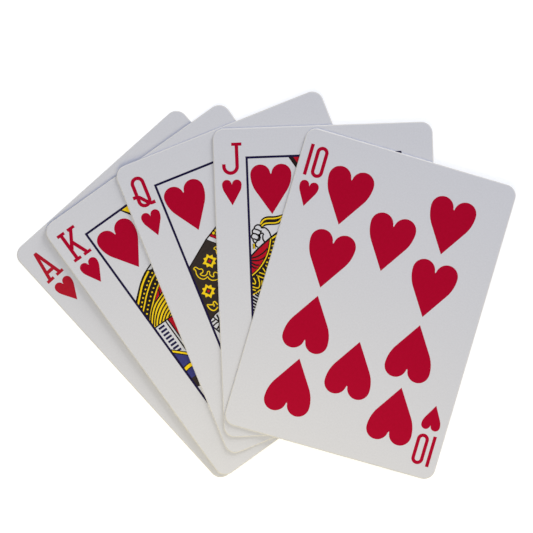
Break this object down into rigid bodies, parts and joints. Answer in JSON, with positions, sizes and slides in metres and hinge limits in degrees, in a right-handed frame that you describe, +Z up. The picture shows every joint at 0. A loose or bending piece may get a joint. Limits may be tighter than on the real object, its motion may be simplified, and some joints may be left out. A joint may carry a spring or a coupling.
{
  "type": "playing card fan",
  "caption": "Hand of heart-suit playing cards fanned face up; each laminated card turns on the one below about its grip point, so the fan opens wider or closes to a squared packet.",
  "frame": {"origin": "centre of the fan's box on the plane that it lies on, level with the underside of the ace", "axes": "+X to the right across the fan, +Y towards the cards' upper ends, +Z up out of the printed faces"},
  "size_m": [0.1436, 0.1122, 0.0021],
  "materials": {
    "card_face": "white casino-grade card stock with a fine linen emboss under a thin varnish",
    "card_back": "white card stock printed with a red lattice inside a white border, varnished",
    "core_film": "dark opaque film between the two plies, matt",
    "red_ink": "deep crimson printing ink, satin",
    "frame_ink": "navy printing ink, satin",
    "yellow_ink": "warm yellow printing ink of the court figures, satin",
    "blue_ink": "blue printing ink of the court figures, satin",
    "black_ink": "warm black printing ink of the court figures, satin"
  },
  "bodies": {
    "ace": {"ace_back_ply": "card_back", "ace_core_film": "core_film", "ace_face_ply": "card_face", "ace_red_ink": "red_ink"},
    "king": {"king_back_ply": "card_back", "king_core_film": "core_film", "king_face_ply": "card_face", "king_red_ink": "red_ink", "king_frame_ink": "frame_ink"},
    "queen": {"queen_back_ply": "card_back", "queen_core_film": "core_film", "queen_face_ply": "card_face", "queen_red_ink": "red_ink", "queen_frame_ink": "frame_ink"},
    "jack": {"jack_back_ply": "card_back", "jack_core_film": "core_film", "jack_face_ply": "card_face", "jack_red_ink": "red_ink", "jack_frame_ink": "frame_ink"},
    "ten": {"ten_back_ply": "card_back", "ten_core_film": "core_film", "ten_face_ply": "card_face", "ten_red_ink": "red_ink"}
  },
  "joints": [
    {"name": "king_fan", "type": "hinge", "parent": "ace", "child": "king", "pos_m": [-0.00465, -0.06377, 0.00071], "axis": [0, 0, -1], "range_deg": [-6.26, 33.74]},
    {"name": "queen_fan", "type": "hinge", "parent": "king", "child": "queen", "pos_m": [0.01596, -0.06022, 0.00108], "axis": [0, 0, -1], "range_deg": [-13.7, 26.3]},
    {"name": "jack_fan", "type": "hinge", "parent": "queen", "child": "jack", "pos_m": [0.00398, -0.04223, 0.00145], "axis": [0, 0, -1], "range_deg": [-19.7, 20.3]},
    {"name": "ten_fan", "type": "hinge", "parent": "jack", "child": "ten", "pos_m": [0.00099, -0.03966, 0.00182], "axis": [0, 0, -1], "range_deg": [-18.4, 21.6]}
  ]
}
